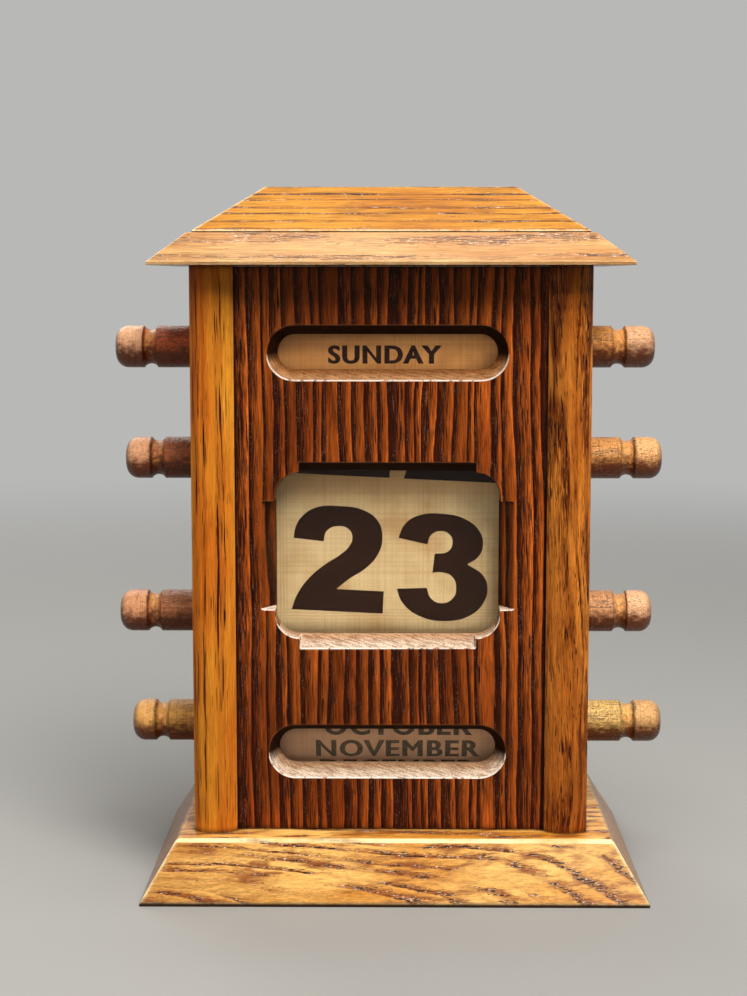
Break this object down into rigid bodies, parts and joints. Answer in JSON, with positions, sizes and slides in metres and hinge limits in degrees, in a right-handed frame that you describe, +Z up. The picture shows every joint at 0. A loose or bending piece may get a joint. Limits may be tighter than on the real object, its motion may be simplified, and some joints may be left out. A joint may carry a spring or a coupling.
{
  "type": "perpetual desk calendar",
  "caption": "Free-standing oak desk calendar with glazed windows over turned spindles that wind a date scroll and turn day and month drums",
  "frame": {"origin": "under the middle of the case, at the surface that the calendar stands on", "axes": "+Z up; the windows face -Y; +X to the right as the user reads the windows"},
  "size_m": [0.1254, 0.073, 0.1559],
  "materials": {
    "oak_base": "glossy varnished golden oak, flat sawn",
    "oak_side_light": "glossy varnished golden oak, straight grained",
    "oak_side_dark": "glossy varnished brown oak, straight grained",
    "oak_panel": "dark stained, varnished, quarter-sawn oak with fine upright stripes",
    "oak_back": "stained oak, thin varnish",
    "oak_eaves": "glossy varnished light oak",
    "oak_cap": "glossy varnished golden oak with fine dark grain",
    "bead_wood": "stained, matt",
    "spindle_wood": "stained dowel, rubbed lighter on the knobs, satin varnish",
    "drum_wood": "bare turned wood",
    "window_glass": "clear, polished",
    "day_linen": "printed linen, tan",
    "date_linen": "printed linen, beige, fine plain weave",
    "month_linen": "printed linen, grey-brown",
    "brass": "dull brass"
  },
  "bodies": {
    "root": {"base_plinth": "oak_base", "side_board_left": "oak_side_light", "side_board_right": "oak_side_dark", "front_panel": "oak_panel", "back_panel": "oak_back", "eaves_board": "oak_eaves", "roof_cap": "oak_cap", "day_glass": "window_glass", "date_glass": "window_glass", "month_glass": "window_glass", "day_glazing_beads": "bead_wood", "date_glazing_beads": "bead_wood", "month_glazing_beads": "bead_wood", "date_scroll": "date_linen", "base_screws": "brass", "eaves_screws": "brass", "cap_screws": "brass", "back_screws": "brass"},
    "day_turner": {"day_spindle": "spindle_wood", "day_drum": "drum_wood", "day_band": "day_linen", "day_drum_pins": "brass"},
    "date_upper_roller": {"date_upper_spindle": "spindle_wood", "date_upper_roll": "date_linen"},
    "date_lower_roller": {"date_lower_spindle": "spindle_wood", "date_lower_roll": "date_linen"},
    "month_turner": {"month_spindle": "spindle_wood", "month_drum": "drum_wood", "month_band": "month_linen", "month_drum_pins": "brass"}
  },
  "joints": [
    {"name": "day_spin", "type": "hinge", "parent": "root", "child": "day_turner", "pos_m": [0, -0.0015, 0.1202], "axis": [-1, 0, 0], "continuous": true},
    {"name": "date_upper_spin", "type": "hinge", "parent": "root", "child": "date_upper_roller", "pos_m": [0, -0.0015, 0.0948], "axis": [-1, 0, 0], "range_deg": [-5436, 1476]},
    {"name": "date_lower_spin", "type": "hinge", "parent": "root", "child": "date_lower_roller", "pos_m": [0, -0.0015, 0.0592], "axis": [-1, 0, 0], "range_deg": [-7150, 1945]},
    {"name": "month_spin", "type": "hinge", "parent": "root", "child": "month_turner", "pos_m": [0, -0.0015, 0.0333], "axis": [-1, 0, 0], "continuous": true}
  ],
  "couplings": [
    {"joint": "date_lower_spin", "follows": "date_upper_spin", "ratio": 1.3151}
  ]
}
